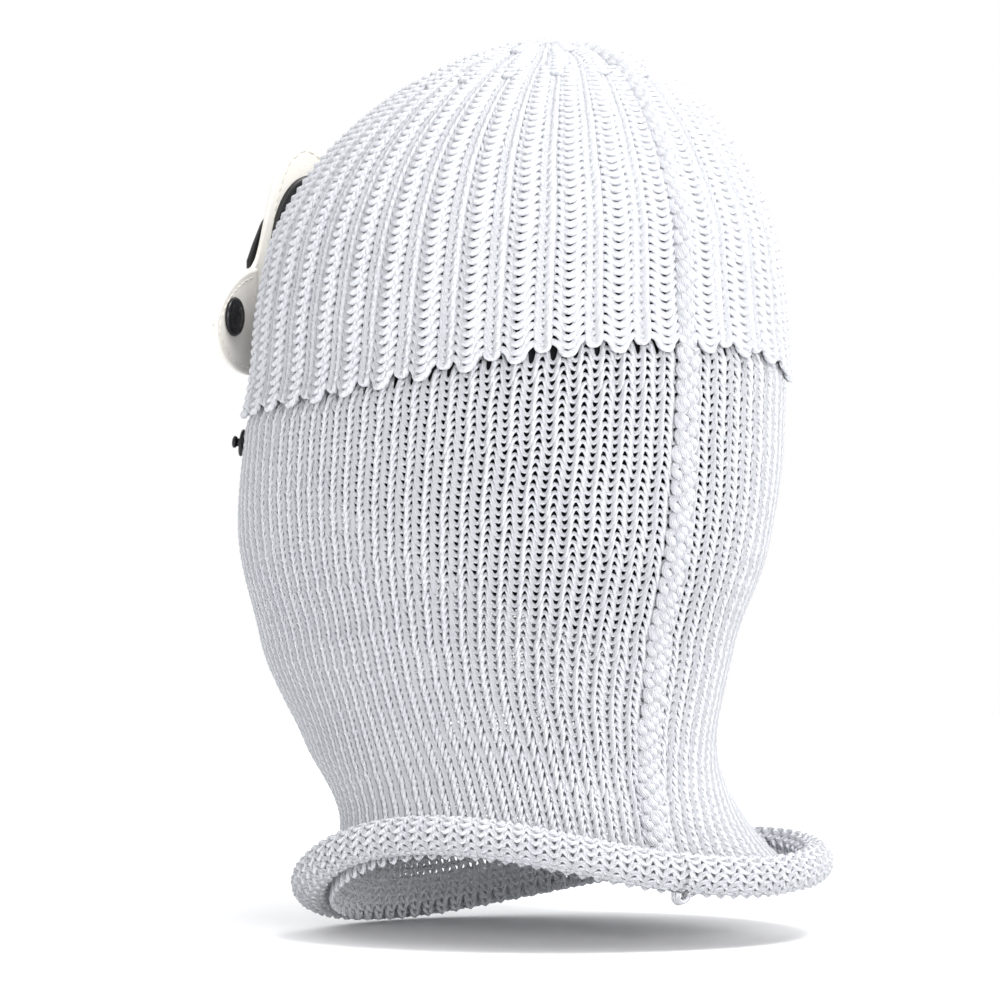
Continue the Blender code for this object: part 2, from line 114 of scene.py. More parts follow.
RIB_DEPTH, RIB_SWING, RIB_WANDER = 0.00050, 0.05, 0.018
FIRST_FEWER, THEN_FEWER = 13, 5         # courses from the top where the wales halve
ROLL_LEVEL = 0.012          # height of the outline that the hem roll follows
ROLL_START, ROLL_TURN = math.radians(205), math.radians(27.5)      # curl at the first course, and per course
SEAM_PITCH, SEAM_BEAT, SEAM_STEP = 0.0042, 0.0049, 0.00045      # seam: unevenness, lumps, point spacing
SLOT_ROUNDS = ((-0.0016, 0.0019), (0.0010, 0.0016))     # each round of the slot's edge: outwards, sunk
BIND_CORE, BIND_WRAP, BIND_PITCH = 0.0011, 0.0013, 0.0023       # cord, its overcast yarn, one turn of it

# Liner, a near-black sheet of painted shade under the knit: its cut across and down, how deep its two faces
# lie and so its thickness, and where it ends.
LINER_DEPTHS = (0.0047, 0.0055)
LINER_LOW, LINER_SLOPE, LINER_TOP = 0.140, 0.048, 0.004

# Outward flare of the lower edge: how far, where round, below which climb, fading over what.
FLARE, FLARE_ANGLE, FLARE_LOW, FLARE_REACH = 0.0075, math.radians(150), 0.018, 0.030


# Head form --------------------

def smooth_curve(knots, values, at):
    """Values of a smooth curve through the knots that never overshoots them."""
    knots, values, at = np.asarray(knots), np.asarray(values), np.asarray(at, float)
    step = np.diff(knots)
    slope = np.diff(values) / step
    tangent = np.zeros(len(knots))
    tangent[0], tangent[-1] = slope[0], slope[-1]
    same = slope[:-1] * slope[1:] > 0
    total = np.where(same, slope[:-1] + slope[1:], 1.0)
    tangent[1:-1] = np.where(same, 2 * slope[:-1] * slope[1:] / total, 0.0)
    at = np.clip(at, knots[0], knots[-1])
    k = np.clip(np.searchsorted(knots, at, side="right") - 1, 0, len(step) - 1)
    t = (at - knots[k]) / step[k]
    start, end = values[k], values[k + 1]
    rise_in, rise_out = tangent[k] * step[k], tangent[k + 1] * step[k]
    return (start * (1 + 2 * t) * (1 - t) ** 2 + rise_in * t * (1 - t) ** 2
            + end * t * t * (3 - 2 * t) + rise_out * t * t * (t - 1))


TABLE = np.array(SECTIONS)
MEAN_RADIUS = (TABLE[:, 1] + (TABLE[:, 3] - TABLE[:, 2]) / 2) / 2
CLIMB = np.concatenate([[0.0], np.cumsum(np.hypot(np.diff(TABLE[:, 0]), np.diff(MEAN_RADIUS)))])
TOP = CLIMB[-1]
CLIMB_STEPS = np.linspace(0.0, TOP, 600)
HEIGHT_STEPS = smooth_curve(CLIMB, TABLE[:, 0], CLIMB_STEPS)


def climb_at(height):
    """Distance up the surface at a height."""
    return np.interp(height, HEIGHT_STEPS, CLIMB_STEPS)


def surface(angle, climb):
    """Point of the head form at an angle round from the wearer's left."""
    height, breadth, front, back, square = (smooth_curve(CLIMB, TABLE[:, k], climb) for k in range(5))
    c, s = np.cos(angle), np.sin(angle)
    power = 2.0 / square
    x = breadth * np.sign(c) * np.abs(c) ** power
    y = (front + back) / 2 + (back - front) / 2 * np.sign(s) * np.abs(s) ** power
    return np.stack(np.broadcast_arrays(x, y, height), axis=-1)


def unit(v):
    """Vectors scaled to length one."""
    return v / np.maximum(np.linalg.norm(v, axis=-1, keepdims=True), 1e-12)


def normal(angle, climb):
    """Outward direction of the head form."""
    across = surface(angle + 0.02, climb) - surface(angle - 0.02, climb)
    up = surface(angle, np.minimum(climb + 0.001, TOP)) - surface(angle, np.maximum(climb - 0.001, 0.0))
    return unit(np.cross(across, up))


def brim_height(angle):
    """Lower edge of the ribbed crown."""
    return 0.180 - 0.0085 * (1 - np.sin(angle)) - 0.0035 * (1 + np.cos(2 * angle))


def hem_height(angle):
    """Bottom of the rolled hem."""
    return (0.0132 + 0.0029 * np.cos(angle) + 0.0072 * np.sin(angle)
            + 0.0044 * np.cos(2 * angle) + 0.0056 * np.sin(2 * angle))


def flare(angle, climb):
    """How far the lower edge stands out over the wearer's right shoulder blade."""
    toward = np.clip(np.cos(np.asarray(angle) - FLARE_ANGLE), 0.0, 1.0) ** 2
    return FLARE * toward * np.clip(1 - (np.asarray(climb) - FLARE_LOW) / FLARE_REACH, 0.0, 1.0) ** 2


def front_y(x, height):
    """Front of the head form at a breadth and height."""
    climb = climb_at(height)
    breadth, front, back, square = (smooth_curve(CLIMB, TABLE[:, k], climb) for k in range(1, 5))
    depth = (1 - np.abs(x / breadth) ** square) ** (1 / square)
    return (front + back) / 2 - (back - front) / 2 * depth


def spread_evenly(share, climb):
    """Angles whose shares of the way round, from the back seam, are even along the section."""
    angles = SEAM_ANGLE + np.linspace(0, TAU, 721)
    ring = surface(angles, np.full(721, climb))
    length = walked(ring)
    turns = np.floor(share)
    return np.interp(share - turns, length / length[-1], angles) + turns * TAU


# Meshes --------------------

def make_object(name, verts, faces):
    """A smooth-shaded object from arrays of points and faces."""
    mesh = bpy.data.meshes.new(name)
    mesh.from_pydata([tuple(v) for v in verts], [], [tuple(f) for f in faces])
    mesh.validate()
    mesh.shade_smooth()
    return linked(name, mesh)


def linked(name, data):
    """A new object in the scene."""
    thing = bpy.data.objects.new(name, data)
    bpy.context.scene.collection.objects.link(thing)
    return thing


def moved(points, matrix):
    """Points carried by a matrix."""
    return points @ np.array(matrix.to_3x3()).T + np.array(matrix.translation)


def facing(at, across, up, out):
    """Matrix at a point whose axes are three unit directions."""
    return Matrix.Translation(Vector(at)) @ Matrix(np.stack([across, up, out], axis=1).tolist()).to_4x4()


def walked(path):
    """Distance along a path at each of its points."""
    return np.concatenate([[0.0], np.cumsum(np.linalg.norm(np.diff(path, axis=0), axis=1))])


class Yarns:
    """Collects yarn tubes and makes one object of them."""

    def __init__(self):
        self.points, self.quads, self.caps = [], [], []
        self.lengths, self.rounds = [], []
        self.count = 0

    def add(self, path, out, radius, closed):
        """Add one yarn along a path; `out` is the direction that its first facet faces."""
        path, out = np.asarray(path), np.asarray(out)
        if closed:
            way = np.roll(path, -1, 0) - np.roll(path, 1, 0)
        else:
            way = np.gradient(path, axis=0)
        way = unit(way)
        side = unit(np.cross(way, out))
        face = np.cross(side, way)
        turn = np.arange(SIDES) * TAU / SIDES
        radius = np.broadcast_to(radius, (len(path),))[:, None, None]
        ring = np.cos(turn)[None, :, None] * face[:, None] + np.sin(turn)[None, :, None] * side[:, None]
        self.points.append((path[:, None] + radius * ring).reshape(-1, 3))
        rows = np.arange(len(path) if closed else len(path) - 1)
        after = (rows + 1) % len(path)
        a = self.count + rows[:, None] * SIDES + np.arange(SIDES)[None]
        b = self.count + after[:, None] * SIDES + np.arange(SIDES)[None]
        self.quads.append(np.stack([a, np.roll(a, -1, 1), np.roll(b, -1, 1), b], axis=-1).reshape(-1, 4))
        if not closed:
            first = self.count + np.arange(SIDES)
            last = self.count + (len(path) - 1) * SIDES + np.arange(SIDES)
            self.caps += [first[::-1], last]
        self.lengths.append(np.repeat(walked(path), SIDES))
        self.rounds.append(np.tile(turn / TAU, len(path)))
        self.count += len(path) * SIDES

    def build(self, name, material, body="mask", slot="white_yarn"):
        """Make the object and let it ride."""
        points, quads = np.concatenate(self.points), np.concatenate(self.quads)
        caps = np.array(self.caps, int).reshape(-1, SIDES)
        mesh = bpy.data.meshes.new(name)
        mesh.vertices.add(len(points))
        mesh.vertices.foreach_set("co", points.astype(np.float32).ravel())
        corners = np.concatenate([quads.ravel(), caps.ravel()])
        mesh.loops.add(len(corners))
        mesh.loops.foreach_set("vertex_index", corners.astype(np.int32))
        sizes = np.concatenate([np.full(len(quads), 4), np.full(len(caps), SIDES)])
        starts = np.concatenate([[0], np.cumsum(sizes)[:-1]])
        mesh.polygons.add(len(sizes))
        mesh.polygons.foreach_set("loop_start", starts.astype(np.int32))
        mesh.update(calc_edges=True)
        mesh.shade_smooth()
        for label, values in (("along", self.lengths), ("around", self.rounds)):
            layer = mesh.attributes.new(label, "FLOAT", "POINT")
            layer.data.foreach_set("value", np.concatenate(values).astype(np.float32))
        mesh.materials.append(material)
        thing = linked(name, mesh)
        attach(thing, body)
        return thing


def blurred_noise(rows, columns, width):
    """Smooth noise round a tube, about -1 to 1."""
    grid = RANDOM.standard_normal((rows, columns))
    kernel = np.hanning(width + 2)[1:-1]
    kernel /= np.sqrt((kernel ** 2).sum())
    wrapped = np.concatenate([grid[:, -width:], grid, grid[:, :width]], axis=1)
    return np.array([np.convolve(line, kernel, "same") for line in wrapped])[:, width:-width]


def stitch_phase(wales):
    """Phase along one course: wale numbers and the angle within each stitch."""
    u = np.arange(wales * STEPS) / STEPS
    return u, u * TAU


# Materials --------------------

def principled(name, colour, roughness, **sockets):
    """A material with its Principled shader and constant sockets set."""
    material = bpy.data.materials.new(name)
    material.use_nodes = True
    tree = material.node_tree
    shader = tree.nodes["Principled BSDF"]
    shader.inputs["Base Color"].default_value = (*colour, 1.0)
    shader.inputs["Roughness"].default_value = roughness
    for key, value in sockets.items():
        shader.inputs[key.replace("_", " ")].default_value = value
    return material, tree, shader


def add_node(tree, kind, **settings):
    """Add a node; settings name its sockets or properties."""
    node = tree.nodes.new(kind)
    for key, value in settings.items():
        if key in node.inputs:
            node.inputs[key].default_value = value
        else:
            setattr(node, key, value)
    return node


def add_texture(tree, place, kind, **settings):
    """Add a texture that reads the object's own coordinates."""
    node = add_node(tree, "ShaderNodeTex" + kind, **settings)
    tree.links.new(place.outputs["Object"], node.inputs["Vector"])
    return node


def mixed_colour(tree, factor, low, high):
    """Colour that runs from low to high with a factor."""
    ramp = add_node(tree, "ShaderNodeValToRGB")
    ramp.color_ramp.elements[0].color = (*low, 1.0)
    ramp.color_ramp.elements[1].color = (*high, 1.0)
    tree.links.new(factor, ramp.inputs["Fac"])
    return ramp.outputs["Color"]


def scaled_sum(tree, first, factor, second=None):
    """Socket of first times factor, plus second."""
    node = add_node(tree, "ShaderNodeMath", operation="MULTIPLY" if second is None else "MULTIPLY_ADD")
    node.inputs[1].default_value = factor
    tree.links.new(first, node.inputs[0])
    if second is not None:
        tree.links.new(second, node.inputs[2])
    return node.outputs[0]


def bumped(tree, shader, height, strength, distance):
    """Bump from a height socket."""
    bump = add_node(tree, "ShaderNodeBump", Strength=strength, Distance=distance)
    tree.links.new(height, bump.inputs["Height"])
    tree.links.new(bump.outputs["Normal"], shader.inputs["Normal"])


def yarn_material():
    """Soft white yarn: twisted plies, fine fuzz and a slight change of tone along it."""
    material, tree, shader = principled("white_knit_yarn", (0.68, 0.69, 0.73), 0.88,
                                        Sheen_Weight=0.15, Sheen_Roughness=0.5)
    along = add_node(tree, "ShaderNodeAttribute", attribute_name="along")
    around = add_node(tree, "ShaderNodeAttribute", attribute_name="around")
    twist = scaled_sum(tree, along.outputs["Fac"], PLY_TWIST, around.outputs["Fac"])
    turns = scaled_sum(tree, twist, PLIES * TAU)
    ply = add_node(tree, "ShaderNodeMath", operation="SINE")
    tree.links.new(turns, ply.inputs[0])
    place = add_node(tree, "ShaderNodeTexCoord")
    fuzz = add_texture(tree, place, "Noise", Scale=2600.0, Detail=3.0)
    height = scaled_sum(tree, ply.outputs[0], PLY_HEIGHT, fuzz.outputs["Fac"])
    bumped(tree, shader, height, 0.8, 0.0005)
    tone = add_texture(tree, place, "Noise", Scale=70.0, Detail=3.0)
    colour = mixed_colour(tree, tone.outputs["Fac"], (0.56, 0.575, 0.62), (0.66, 0.67, 0.705))
    tree.links.new(colour, shader.inputs["Base Color"])
    return material


def leather_material(name, low, high):
    """Smooth leather with a fine pebbled grain."""
    material, tree, shader = principled(name, high, 0.48, Coat_Weight=0.08)
    place = add_node(tree, "ShaderNodeTexCoord")
    grain = add_texture(tree, place, "Voronoi", Scale=1400.0)
    crease = add_texture(tree, place, "Noise", Scale=220.0, Detail=6.0)
    stain = add_texture(tree, place, "Noise", Scale=40.0, Detail=3.0)
    height = scaled_sum(tree, grain.outputs["Distance"], 0.5, crease.outputs["Fac"])
    bumped(tree, shader, height, 0.35, 0.0003)
    tree.links.new(mixed_colour(tree, stain.outputs["Fac"], low, high), shader.inputs["Base Color"])
    return material


def shade_liner_material():
    """Near-black matte sheet with a fine uneven nap: painted shade of the hat's inside, seen through the gaps
    between the stitches.
    """
    material, tree, shader = principled("painted_shade_liner", (0.012, 0.012, 0.015), 0.95)
    place = add_node(tree, "ShaderNodeTexCoord")
    weave = add_texture(tree, place, "Noise", Scale=900.0, Detail=2.0)
    bumped(tree, shader, weave.outputs["Fac"], 0.4, 0.0003)
    # Near-black colour with a faint random change of tone: painted shade behind the stitches.
    colour = mixed_colour(tree, weave.outputs["Fac"], (0.006, 0.006, 0.008), (0.022, 0.022, 0.027))
    tree.links.new(colour, shader.inputs["Base Color"])
    return material


def dark_material(name, colour, roughness, metallic, scuffs, **sockets):
    """Black metal or plastic with faint scuffs in its gloss."""
    material, tree, shader = principled(name, colour, roughness, Metallic=metallic, **sockets)
    place = add_node(tree, "ShaderNodeTexCoord")
    scuff = add_texture(tree, place, "Noise", Scale=scuffs, Detail=5.0)
    spread = add_node(tree, "ShaderNodeMapRange")
    spread.inputs["To Min"].default_value = roughness * 0.7
    spread.inputs["To Max"].default_value = roughness * 1.5
    tree.links.new(scuff.outputs["Fac"], spread.inputs["Value"])
    tree.links.new(spread.outputs["Result"], shader.inputs["Roughness"])
    return material


# Knitting --------------------

def in_slot(points, grow):
    """Which points lie in the eye slot."""
    half = (SLOT_WIDTH - SLOT_HEIGHT) / 2
    dx = np.maximum(np.abs(points[:, 0]) - half, 0.0)
    near = np.hypot(dx, points[:, 2] - SLOT_Z) < SLOT_HEIGHT / 2 + grow
    return near & (points[:, 1] < 0)


def runs_outside(inside):
    """Unbroken stretches of a closed course that stay out of the slot."""
    if not inside.any():
        return None
    size = len(inside)
    start = int(np.argmax(inside))
    order = (start + np.arange(size)) % size
    stretch, found = [], []
    for k in (*order, start):
        if inside[k]:
            if len(stretch) > 3:
                found.append(np.array(stretch))
            stretch = []
        else:
            stretch.append(k)
    return found


def knit_body(material):
    """Stockinette of the mask, a few courses to a piece."""
    u, t = stitch_phase(BODY_WALES)
    lean = blurred_noise(BODY_ROWS, BODY_WALES, 9)
    batch, pieces = Yarns(), []
    for row in range(BODY_ROWS):
        share = row / BODY_ROWS
        middle = float(climb_at(BODY_LOW) + (climb_at(BODY_HIGH) - climb_at(BODY_LOW)) * share)
        wander = BODY_WANDER * np.interp(u, np.arange(BODY_WALES), lean[row], period=BODY_WALES)
        angle = spread_evenly((u + BODY_SWING * np.sin(2 * t) + wander) / BODY_WALES, middle)
        bottom, top = climb_at(hem_height(angle) + 0.004), climb_at(brim_height(angle) + 0.001)
        pitch = (top - bottom) / BODY_ROWS
        climb = np.clip(bottom + pitch * (row + 0.5 + BODY_LOOP * np.cos(t)), 0.0, TOP)
        out = normal(angle, climb)
        sunk = BRIM_SINK * np.clip((climb - top) / SINK_REACH + 1.0, 0.0, 1.0) ** 2
        depth = flare(angle, climb) - BODY_SINK - sunk - BODY_DEPTH * np.cos(2 * t)
        path = surface(angle, climb) + out * depth[:, None]
        runs = runs_outside(in_slot(path, -SLOT_LAP))
        if runs is None:
            batch.add(path, out, YARN, True)
        else:
            for run in runs:
                batch.add(path[run], out[run], YARN, False)
        if row % PIECE_ROWS == PIECE_ROWS - 1 or row == BODY_ROWS - 1:
            pieces.append(batch.build(f"knit_mask_{len(pieces) + 1}", material))
            batch = Yarns()
    return pieces


def rib_position(u, narrow):
    """Wale coordinate with every second wale drawn narrow: u even is a knit wale's middle."""
    return u - (0.5 - narrow) / math.pi * np.sin(math.pi * u)


def knit_crown(material):
    """Ribbed crown: narrow knit chains between wide purl arcs, half as many ribs near the top."""
    rows = int((TOP - float(climb_at(0.176))) / RIB_ROW)
    lean = blurred_noise(rows, RIBS * 2, 9)
    batch, pieces = Yarns(), []
    courses = []
    for row in range(rows):
        left = rows - row
        courses.append((row, RIBS * 2 if left > FIRST_FEWER else (RIBS if left > THEN_FEWER else RIBS // 2)))
    courses += [(rows - FIRST_FEWER, RIBS * 2), (rows - FIRST_FEWER + 1, RIBS * 2), (rows - THEN_FEWER, RIBS)]
    for row, wales in sorted(courses):
        u, t = stitch_phase(wales)
        sign = np.cos(math.pi * u)
        uneven = np.interp(u * RIBS * 2 / wales, np.arange(RIBS * 2), lean[row], period=RIBS * 2)
        place = rib_position(u + RIB_SWING * np.sin(2 * t) + RIB_WANDER * uneven, 0.38)
        share = row / rows
        middle = float(climb_at(CROWN_LOW)) + (TOP - float(climb_at(CROWN_LOW))) * share
        angle = spread_evenly(place / wales, middle)
        purl = 0.5 - 0.5 * np.cos(math.pi * place)
        bottom = climb_at(brim_height(angle) - 0.0022)
        pitch = (TOP - 0.001 - bottom) / rows
        hang = SCALLOP * (1.3 * purl - 0.9) * math.exp(-row / 3.0)
        reach = (0.90 + 0.20 * (1 - purl)) * (1 - 0.45 * math.exp(-row / 1.5))
        climb = np.clip(bottom + pitch * (row + 1.3 - reach * np.cos(t)) - hang, 0.0, TOP)
        out = normal(angle, climb)
        stand = BRIM_FLARE * math.exp(-row / 2.5)
        chain = 0.0006 * (1 - purl) * np.cos(t)
        depth = -CROWN_SINK + PURL_RISE * purl + stand + chain - RIB_DEPTH * sign * np.cos(2 * t)
        path = surface(angle, climb) + out * depth[:, None]
        batch.add(path, out, RIB_YARN, True)
        if row % PIECE_ROWS == PIECE_ROWS - 1 or row == rows - 1:
            pieces.append(batch.build(f"knit_crown_{len(pieces) + 1}", material))
            batch = Yarns()
    return pieces


def knit_roll(material):
    """Neck edge curled outwards, its purl side showing."""
    u, t = stitch_phase(BODY_WALES)
    batch = Yarns()
    angle = spread_evenly((u + 0.05 * np.sin(2 * t)) / BODY_WALES, float(climb_at(ROLL_LEVEL)))
    climb = climb_at(hem_height(angle) + ROLL_RADIUS)
    out = normal(angle, climb)
    up = unit(np.cross(out, np.cross([0.0, 0.0, 1.0], out)))
    heart = surface(angle, climb) + out * (ROLL_RADIUS + 0.0005 + flare(angle, climb))[:, None]
    for row in range(ROLL_ROWS):
        curl = ROLL_TURN * (row + 0.9 * np.cos(t)) - ROLL_START
        around = np.cos(curl)[:, None] * out + np.sin(curl)[:, None] * up
        reach = ROLL_RADIUS - YARN * 1.5 + 0.00045 * np.cos(2 * t)
        batch.add(heart + around * reach[:, None], around, YARN * 1.05, True)
    return [batch.build("knit_hem_roll", material)]


def lumpy_seam(name, low, high, width, lift, material):
    """Back seam: a raised, uneven band of thick yarns crowded side by side."""
    batch = Yarns()
    size = int((high - low) / SEAM_STEP)
    climb = np.linspace(low, high, size)
    angle = np.full(size, SEAM_ANGLE)
    out, base = normal(angle, climb), surface(angle, climb)
    base = base + out * flare(angle, climb)[:, None]
    side = unit(np.cross(out, np.gradient(base, axis=0)))
    knots = np.linspace(low, high, int((high - low) / SEAM_PITCH))
    for strand in range(4):
        place = (strand - 1.5) / 1.5
        uneven = np.interp(climb, knots, RANDOM.uniform(-1, 1, len(knots)))
        beat = (climb - low) / SEAM_BEAT * TAU + strand * 1.9
        across = width * (0.72 * place + 0.22 * uneven + 0.22 * np.sin(beat))
        raised = lift + 0.0007 * (1 - place ** 2) + 0.00045 * np.cos(beat)
        thick = SEAM_YARN * (1 + 0.12 * np.cos(2 * beat))
        batch.add(base + side * across[:, None] + out * raised[:, None], out, thick, False)
    return batch.build(name, material)


def main_knit(yarn):
    """All knitted pieces and what they replace."""
    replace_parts(knit_body(yarn)[0], "mask_body")
    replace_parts(knit_crown(yarn)[0], "rib_crown")
    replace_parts(knit_roll(yarn)[0], "neck_hem_roll")
    low = float(climb_at(hem_height(SEAM_ANGLE))) + 0.012
    brim = float(climb_at(brim_height(SEAM_ANGLE)))
    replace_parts(lumpy_seam("seam_mask_back", low, brim - 0.001, 0.0034, 0.0, yarn), "mask_back_seam")
    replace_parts(lumpy_seam("seam_crown_back", brim - 0.003, TOP - 0.010, 0.0024, -0.0012, yarn),
                "crown_back_seam")
    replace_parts(gather(yarn), "crown_gather")
    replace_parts(tack(yarn), "hem_seam_tack")
    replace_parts(binding(yarn), "eye_slot_binding")


def gather(yarn):
    """Drawn-up top: yarn wound round the closing in a low spiral."""
    ring = surface(np.arange(4) * TAU / 4, np.full(4, TOP))
    middle = ring.mean(axis=0)
    batch = Yarns()
    turn = np.linspace(0, 5.6 * TAU, 260)
    radius = 0.0100 * (1 - turn / turn[-1]) ** 0.9 + 0.0006
    rise = 0.0016 * (1 - (radius / 0.0106) ** 2) - 0.0012
    wobble = 0.0004 * np.sin(turn * 7.3)
    away = radius + wobble
    path = middle + np.stack([away * np.cos(turn), away * np.sin(turn), rise], axis=1)
    batch.add(path, np.tile([0.0, 0.0, 1.0], (len(turn), 1)), YARN * 1.25, False)
    return batch.build("gathered_top", yarn)


def tack(yarn):
    """Few stitches that end the seam under the hem."""
    low, high = (Vector(corner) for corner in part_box("hem_seam_tack"))
    middle = (low + high) / 2
    middle.y += float(flare(SEAM_ANGLE, FLARE_LOW))
    batch = Yarns()
    for k in range(3):
        turn = np.linspace(-0.15 * math.pi, 1.15 * math.pi, 18)
        x = middle.x + 0.0019 * np.cos(turn)
        z = high.z + 0.0004 - (0.0024 - 0.0003 * k) * np.sin(turn)
        y = np.full(18, middle.y + (k - 1) * 0.0013)
        batch.add(np.stack([x, y, z], axis=1), np.tile([0.0, 0.3, -1.0], (18, 1)), YARN, False)
    return batch.build("hem_tack_stitches", yarn)


def slot_path(end, size):
    """Stadium round the eye slot, `end` its half height, and its length."""
    half = (SLOT_WIDTH - SLOT_HEIGHT) / 2
    around = 2 * math.pi * end + 4 * half
    reach = np.linspace(0, around, size, endpoint=False)
    corner = 2 * half + math.pi * end
    turn = np.where(reach < corner, (reach - 2 * half) / end - math.pi / 2,
                    (reach - corner - 2 * half) / end + math.pi / 2)
    low, high = reach < 2 * half, (reach >= corner) & (reach < corner + 2 * half)
    middle = np.where(reach < corner, half, -half)
    x = np.where(low, -half + reach, np.where(high, half - (reach - corner), middle + end * np.cos(turn)))
    z = np.where(low, -end, np.where(high, end, end * np.sin(turn)))
    return x, z, around


def binding(yarn):
    """Eye slot's edge: two rounds of overcast yarn side by side."""
    batch, size = Yarns(), 1700
    ahead = np.tile([0.0, -1.0, 0.0], (size, 1))
    for outwards, sunk in SLOT_ROUNDS:
        x, z, around = slot_path(SLOT_HEIGHT / 2 + outwards, size)
        core = np.stack([x, front_y(x, z + SLOT_Z) + sunk, z + SLOT_Z], axis=1)
        way = unit(np.roll(core, -1, 0) - np.roll(core, 1, 0))
        side = unit(np.cross(way, ahead))
        batch.add(core, ahead, BIND_CORE, True)
        coil = np.arange(size) * TAU / size * round(around / BIND_PITCH)
        wrap = core + BIND_WRAP * (np.cos(coil)[:, None] * ahead + np.sin(coil)[:, None] * side)
        batch.add(wrap, ahead, YARN * 0.85, True)
    return batch.build("slot_overcast_edge", yarn)


# Liner: painted shade under the knit --------------------

def shade_liner_piece(shade_sheet):
    """Thin near-black cap under the knit, from the crown to the nape: painted shade that shows through the
    gaps between the stitches.
    """
    columns, rows = 96, 60
    angle = np.arange(columns) * TAU / columns
    verts, inner = [], []
    for row in range(rows + 1):
        low = climb_at(LINER_LOW - LINER_SLOPE * np.sin(angle))
        climb = low + (TOP - LINER_TOP - low) * row / rows
        base, out = surface(angle, climb), normal(angle, climb)
        verts.append(base - out * LINER_DEPTHS[0])
        inner.append(base - out * LINER_DEPTHS[1])
    verts, inner = np.concatenate(verts), np.concatenate(inner)
    faces, size = [], len(verts)
    for row in range(rows):
        for k in range(columns):
            a, b = row * columns + k, row * columns + (k + 1) % columns
            c, d = b + columns, a + columns
            faces += [(a, b, c, d), (size + b, size + a, size + d, size + c)]
    for row, flip in ((0, True), (rows, False)):
        for k in range(columns):
            a, b = row * columns + k, row * columns + (k + 1) % columns
            edge = (a, b, size + b, size + a)
            faces.append(edge[::-1] if flip else edge)
    thing = make_object("painted_shade_liner_cap", np.concatenate([verts, inner]), faces)
    thing.data.materials.append(shade_sheet)
    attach(thing, "mask")
    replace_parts(thing, "skull_liner")
    return thing


# Visor --------------------

LEATHER = 0.0018
HINGE = Vector((0.0, -0.098, 0.1732))
HINGE_RADIUS, HINGE_HALF = 0.0015, 0.022
LEAN = math.radians(1.5)
PANEL_HALF, WING_LENGTH, TAB_LENGTH = 0.0425, 0.016, 0.032
WING_ANGLE, TAB_ANGLE = math.radians(72.0), math.radians(38.0)
VISOR_HEIGHT = 0.0785
TAB_DROP = 0.0024
LENS_TILT = math.radians(10.0)
FOLD = 0.004                # leather each side of a fold that takes part in its bend
SPLIT = PANEL_HALF + WING_LENGTH / 2
LENS_X, LENS_W, LENS_HALF_WIDTH, LENS_HALF_HEIGHT = 0.0217, 0.0465, 0.0115, 0.0195
RIM_WIDTH = 0.0016
LENS_FRONT, LENS_THICKNESS, LENS_DISH = 0.0006, 0.0014, 0.0016
LENS_CLEARANCE = 0.0002
RIM_SECTION = ((-0.0003, -0.0021), (0.0009, -0.0023), (0.0019, -0.0020), (0.0020, -0.0010), (0.0017, 0.0000),
               (0.0020, 0.0010), (0.0028, 0.0011), (0.0030, 0.0015), (0.0026, 0.0020), (0.0016, 0.0022),
               (0.0004, 0.0022), (-0.0005, 0.0018), (-0.0006, 0.0008),
               (-0.0006, -0.0010))          # outwards from the lens hole, forward of the leather
SHIELD = np.array([(0.0300, 0.0590, 0.0440), (0.0340, 0.0560, 0.0400), (0.0370, 0.0520, 0.0380),
                   (0.0400, 0.0450, 0.0370),
                   (0.0420, 0.0395, 0.0368)])        # across, upper and lower edge of the black side shield
SHIELD_AHEAD, SHIELD_HALF = 0.0028, 0.0006      # its place forward of the leather, half its thickness
SNAP_W, SNAP_REACH = 0.0205, 0.020          # snap's place up the leather and along the tab
SNAP_CAP = ((0.0004, 0.0), (0.0056, 0.0), (0.0062, 0.0003), (0.0063, 0.0008), (0.0059, 0.0014),
            (0.0051, 0.0018), (0.0043, 0.0017), (0.0036, 0.0018), (0.0024, 0.0021), (0.0012, 0.0022),
            (0.0003, 0.0022))               # radius and height off the leather, as in the profiles below
SNAP_SOCKET = ((0.0023, 0.0), (0.0050, 0.0), (0.0053, 0.0004), (0.0051, 0.0010), (0.0044, 0.0013),
               (0.0036, 0.0012), (0.0031, 0.0016), (0.0025, 0.0016), (0.0022, 0.0012))
STUD_X = 0.060
STUD_POST = ((0.0003, 0.0008), (0.0020, 0.0008), (0.0016, 0.0011), (0.0013, 0.0016), (0.0013, 0.0022),
             (0.0018, 0.0026), (0.0020, 0.0031), (0.0018, 0.0036), (0.0011, 0.0039), (0.0003, 0.0040))
STUD_COLLAR = ((0.0022, 0.0004), (0.0041, 0.0003), (0.0044, 0.0007), (0.0042, 0.0012), (0.0034, 0.0015),
               (0.0026, 0.0013), (0.0021, 0.0008))
STUD_WASHER = ((0.0004, -0.0030), (0.0040, -0.0030), (0.0043, -0.0033), (0.0040, -0.0037), (0.0004, -0.0038))
STRIP_HALF, STRIP_THICK_HALF = 0.0028, 0.0005      # nose strip: half its width, half its thickness
STRIP_START = 0.0145        # how much higher the strip begins on the outer face than on the inner
BROW_HEIGHT, BROW_HALF = 0.012, 0.0008      # brow tab: how tall, and half its thickness
THREAD, STITCH_PITCH, STITCH_LENGTH = 0.00019, 0.0031, 0.0023
STITCH_ARCH = np.sin(np.linspace(0, math.pi, 6)) * 0.00022
LOW_EDGE = HINGE_RADIUS + 0.0005
FRAME = (Matrix.Translation(HINGE) @ Matrix.Rotation(-LEAN, 4, "X") @ Matrix.Rotation(math.pi / 2, 4, "X"))


def top_edge(u):
    """Upper edge of the raised visor, from the nose notch over the lobe and out along the wing."""
    share = np.array([(0.0, 0.60), (0.15, 0.74), (0.35, 0.955), (0.54, 1.0), (0.70, 0.95), (0.80, 0.84),
                      (0.87, 0.69), (0.92, 0.57), (0.965, 0.505), (1.03, 0.475), (1.4, 0.465), (2.3, 0.46)])
    return smooth_curve(share[:, 0] * PANEL_HALF, share[:, 1] * VISOR_HEIGHT, u)


